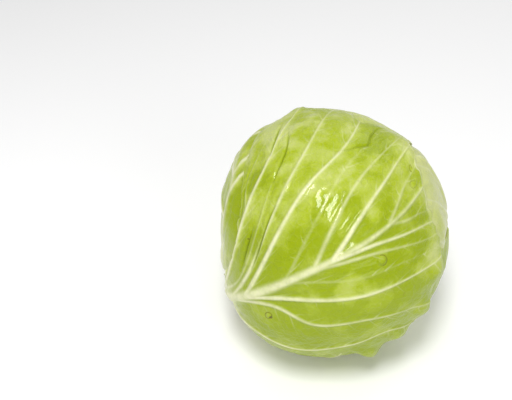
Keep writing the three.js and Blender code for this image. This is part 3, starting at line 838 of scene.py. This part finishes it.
def heart_piece():
    """The tight leaves inside, seen only between the leaf bases: low steps on a slow spiral."""
    around, along, leaves, step, twist = 180, 120, 5, 1.4, 70
    socket, mouth_depth = STEM_RADIUS + 0.4, 60.0
    theta = np.linspace(13.5, 178, along)[:, None] + np.zeros((1, around))
    phi = np.linspace(0, 360, around, endpoint=False)[None, :] + twist * theta / 180
    ways = direction(theta, phi)
    sink = pressed_by(LEAVES, ways, (-1, 3))[0]
    place = (phi - twist * theta / 180) / 360 * leaves % 1
    ridge = step * (1 - place) * smoothstep(0, 0.05, place) * np.sin(np.minimum(theta, 150) * RAD)
    vein = np.exp(-((place - 0.5) / 0.05) ** 2) * np.exp(-theta / 60)
    depth = step + 0.9 - 1.2 * (1 - smoothstep(20, 45, theta))
    radius = np.minimum(head_radius(ways), floor_distance(ways)) - sink - depth + ridge + 1.2 * vein
    spots = placed(ways, radius)
    turn = phi[0] * RAD
    mouth = np.stack([socket * np.cos(turn), socket * np.sin(turn), np.full(around, -mouth_depth)], 1)
    mouth = mouth @ HEAD_TURN.T + (0, 0, MIDDLE_HEIGHT)
    caps = np.array([[0, 0, -mouth_depth], [0, 0, radius[-1].mean() - 0.05]])
    caps = caps @ HEAD_TURN.T + (0, 0, MIDDLE_HEIGHT)
    spots = np.vstack([mouth * METRE, spots, caps * METRE])
    at = np.arange(around * (along + 1)).reshape(along + 1, around)
    a, b = at[:-1].ravel(), np.roll(at, -1, 1)[:-1].ravel()
    c, d = np.roll(at, -1, 1)[1:].ravel(), at[1:].ravel()
    low, high = len(spots) - 2, len(spots) - 1
    faces = np.vstack([
        np.stack([a, b, c], 1), np.stack([a, c, d], 1),
        np.stack([np.full(around, low), np.roll(at[0], -1), at[0]], 1),
        np.stack([np.full(around, high), at[-1], np.roll(at[-1], -1)], 1),
    ])
    total = len(spots)
    values = {name: np.zeros(total) for name in ("groove", "mark", "edge_highlight")}
    values["vein"] = np.concatenate([np.zeros(around), vein.ravel(), [0, 0]])
    values["halo"] = values["vein"]
    values["rim"] = np.full(total, FAR)
    values["pale"] = np.full(total, 0.8)
    values["base"] = np.concatenate([np.ones(around), near_stem(ways).ravel(), [1, 0]])
    piece = mesh_piece("heart_leaves", spots, faces, values, spots[:, :2] / METRE)
    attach(piece, "root")
    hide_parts("heart")
    return piece


def stem_piece():
    """The cut stem: a knife-cut face with a woody ring, and a rough skin down its side."""
    around = 120
    profile = [(r, 0.0) for r in np.linspace(0.06, 0.9, 16)]    # the share of the radius, and the depth
    profile += [(0.95, -0.15), (0.985, -0.5), (1.0, -1.2)] + [(1.0, -h) for h in np.linspace(2.5, 42, 24)]
    phi = np.linspace(0, 2 * math.pi, around, endpoint=False)
    rings, face = [], []
    for share, depth in profile:
        ragged = 0.25 * np.sin(5 * phi + depth) + 0.18 * np.sin(13 * phi + 1 + depth * 0.6)
        wide = STEM_RADIUS * share - 0.35 * (share > 0.93) + 0.5 * ragged * (share > 0.9)
        saw = 0.12 * np.sin(wide * np.cos(phi) * 1.9 + 0.8 * np.sin(phi * 2)) * (share < 0.95)
        dip = -0.5 * math.exp(-((share - 0.3) / 0.3) ** 2) if share < 0.9 else 0
        rings.append(np.stack([wide * np.cos(phi), wide * np.sin(phi),
                               np.full(around, -(STEM_END + depth + dip)) + saw], 1))
        face.append(np.full(around, share if depth > -0.6 else 1.0 + min(-depth, 40) / 40))
    spots = np.vstack(rings + [np.array([[0, 0, -(STEM_END - 0.45)], [0, 0, -(STEM_END - 42.5)]])])
    spots = spots @ HEAD_TURN.T
    spots[:, 2] += MIDDLE_HEIGHT
    count = len(rings)
    at = np.arange(count * around).reshape(count, around)
    a, b = at[:-1].ravel(), np.roll(at, -1, 1)[:-1].ravel()
    c, d = np.roll(at, -1, 1)[1:].ravel(), at[1:].ravel()
    first, last = len(spots) - 2, len(spots) - 1
    faces = np.vstack([
        np.stack([a, c, b], 1), np.stack([a, d, c], 1),
        np.stack([np.full(around, first), at[0], np.roll(at[0], -1)], 1),
        np.stack([np.full(around, last), np.roll(at[-1], -1), at[-1]], 1),
    ])
    share = np.concatenate([np.concatenate(face), [0, 2]])
    piece = mesh_piece("stem_stub", spots * METRE, faces, {"face": share}, spots[:, :2])
    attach(piece, "root")
    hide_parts("stem")
    return piece


def stem_material():
    """Moist cut wood: a paler core, a woody ring, and a browner, then greener side."""
    s = Shader("cut_stem")
    spot = s.node("ShaderNodeTexCoord").outputs["Object"]
    face = s.attribute("face")
    cloud = s.noise(spot, 160, 4)
    colour = s.mix(s.ramp(cloud, 0.35, 0.7), srgb(232, 229, 196), srgb(214, 205, 158))
    colour = s.mix(s.ramp(face, 0.2, 0.5, 0.35, 0.0), colour, srgb(238, 236, 214))
    wood = s.maths("MULTIPLY", s.ramp(face, 0.66, 0.76), s.ramp(face, 0.78, 0.88, 1.0, 0.0))
    colour = s.mix(s.maths("MULTIPLY", wood, 0.6), colour, srgb(188, 190, 120))
    colour = s.mix(s.ramp(face, 0.9, 1.0, 0.0, 0.55), colour, srgb(178, 160, 104))
    colour = s.mix(s.ramp(face, 1.02, 1.3, 0.0, 0.8), colour, srgb(206, 212, 150))
    height = s.maths("ADD", s.noise(spot, 500, 4), s.maths("MULTIPLY", cloud, 1.5))
    bump = s.node("ShaderNodeBump", {"Height": height, "Distance": 0.0005, "Strength": 0.6})
    s.feed(s.surface.inputs["Base Color"], colour)
    s.feed(s.surface.inputs["Roughness"], s.ramp(cloud, 0.3, 0.7, 0.5, 0.72))
    s.feed(s.surface.inputs["Normal"], bump.outputs["Normal"])
    s.surface.inputs["Subsurface Weight"].default_value = 0.15
    s.surface.inputs["Subsurface Radius"].default_value = (1.0, 0.9, 0.5)
    s.surface.inputs["Subsurface Scale"].default_value = 0.003
    return s.material


# The camera stands where the photograph was taken, and looks a little past the head on its left.
CAMERA_AWAY, CAMERA_ELEVATION = 598.0, 40.0
CAMERA_YAW, CAMERA_PITCH = 6.909, 38.057
FOCAL_PIXELS, IMAGE_WIDTH, SENSOR = 853.0, 512, 36.0


def camera():
    lens = bpy.data.cameras.new("camera")
    lens.sensor_width = SENSOR
    lens.lens = FOCAL_PIXELS / IMAGE_WIDTH * SENSOR
    eye = bpy.data.objects.new("camera", lens)
    bpy.context.scene.collection.objects.link(eye)
    rise = CAMERA_ELEVATION * RAD
    eye.location = (0, -CAMERA_AWAY * math.cos(rise) * METRE,
                    (MIDDLE_HEIGHT + CAMERA_AWAY * math.sin(rise)) * METRE)
    eye.rotation_euler = ((90 - CAMERA_PITCH) * RAD, 0, CAMERA_YAW * RAD)
    bpy.context.scene.camera = eye


def light(name, place, size, power):
    """A white area light that looks at the head."""
    lamp = bpy.data.lights.new(name, "AREA")
    lamp.shape = "RECTANGLE"
    lamp.size, lamp.size_y = size
    lamp.energy = power
    holder = bpy.data.objects.new(name, lamp)
    bpy.context.scene.collection.objects.link(holder)
    holder.location = place
    way = Vector((0, 0, 0.08)) - Vector(place)
    holder.rotation_euler = way.to_track_quat("-Z", "Y").to_euler()


def floor():
    mesh = bpy.data.meshes.new("floor")
    half = 3.0
    corners = [(-half, -half, 0), (half, -half, 0), (half, half, 0), (-half, half, 0)]
    mesh.from_pydata(corners, [], [(0, 1, 2, 3)])
    plane = bpy.data.objects.new("floor", mesh)
    bpy.context.scene.collection.objects.link(plane)
    s = Shader("floor")
    s.surface.inputs["Base Color"].default_value = (0.96, 0.96, 0.96, 1)
    s.surface.inputs["Roughness"].default_value = 0.8
    s.surface.inputs["Specular IOR Level"].default_value = 0.2
    mesh.materials.append(s.material)


def world():
    scene = bpy.context.scene
    scene.world = scene.world or bpy.data.worlds.new("world")
    scene.world.use_nodes = True
    background = scene.world.node_tree.nodes["Background"]
    background.inputs["Color"].default_value = (1, 1, 1, 1)
    background.inputs["Strength"].default_value = 0.5
    scene.view_settings.view_transform = "Standard"


camera()
for leaf in LEAVES:
    prepare(leaf)
materials = {
    "green_leaf": leaf_material("green_leaf", saturated=srgb(140, 158, 0), middle=srgb(156, 173, 16),
                                pale=srgb(186, 195, 112), rib=srgb(218, 219, 176)),
    "pale_leaf": leaf_material("pale_leaf", saturated=srgb(158, 172, 60), middle=srgb(174, 184, 98),
                               pale=srgb(188, 194, 128), rib=srgb(206, 208, 166)),
}
for k, leaf in enumerate(LEAVES):
    blade = leaf_piece(leaf, LEAVES[:k])
    blade.data.materials.append(materials[leaf["slot"]])
heart_piece().data.materials.append(materials["pale_leaf"])
stem_piece().data.materials.append(stem_material())
floor()
world()
light("soft_box", (-0.06, -0.46, 1.02), (0.22, 0.34), 7.2)
light("fill", (0.8, -1.15, 0.75), (0.7, 0.7), 4.2)
light("side", (-1.1, -0.6, 0.8), (0.7, 0.7), 1.8)
light("back", (0.6, 0.9, 1.0), (0.7, 0.7), 2.3)
